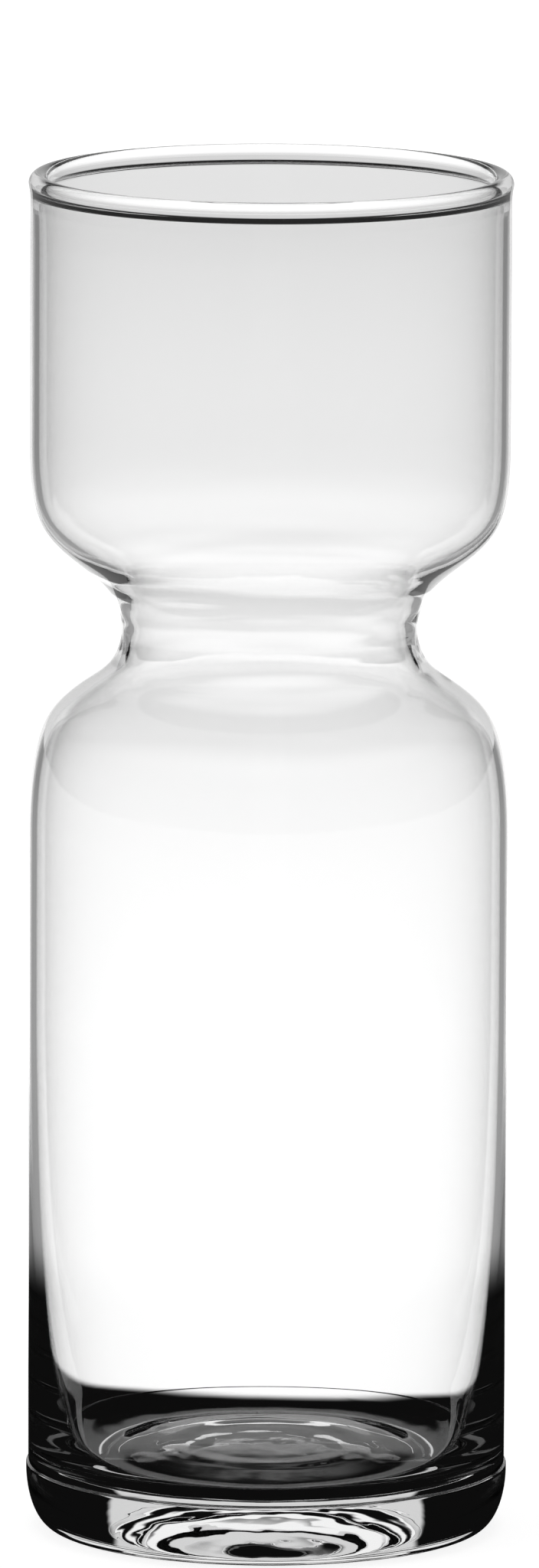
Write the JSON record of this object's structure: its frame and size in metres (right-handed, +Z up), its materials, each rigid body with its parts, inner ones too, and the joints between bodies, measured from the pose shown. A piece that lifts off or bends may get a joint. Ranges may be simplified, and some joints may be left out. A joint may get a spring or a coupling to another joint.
{
  "type": "hyacinth forcing vase",
  "caption": "Clear blown-glass vase whose upper cup holds a flower bulb over a narrow waist, with its roots in a tall water reservoir on a thick foot.",
  "frame": {"origin": "on the table, under the centre of the foot", "axes": "+Z up along the vase's axis, from the foot to the mouth"},
  "size_m": [0.0804, 0.0804, 0.228],
  "materials": {
    "clear_glass": "fire-polished clear soda-lime glass"
  },
  "bodies": {
    "root": {"rim_bead": "clear_glass", "bulb_cup": "clear_glass", "waist_collar": "clear_glass", "reservoir_shoulder": "clear_glass", "reservoir_wall": "clear_glass", "reservoir_floor": "clear_glass", "foot_plate": "clear_glass"}
  },
  "joints": []
}
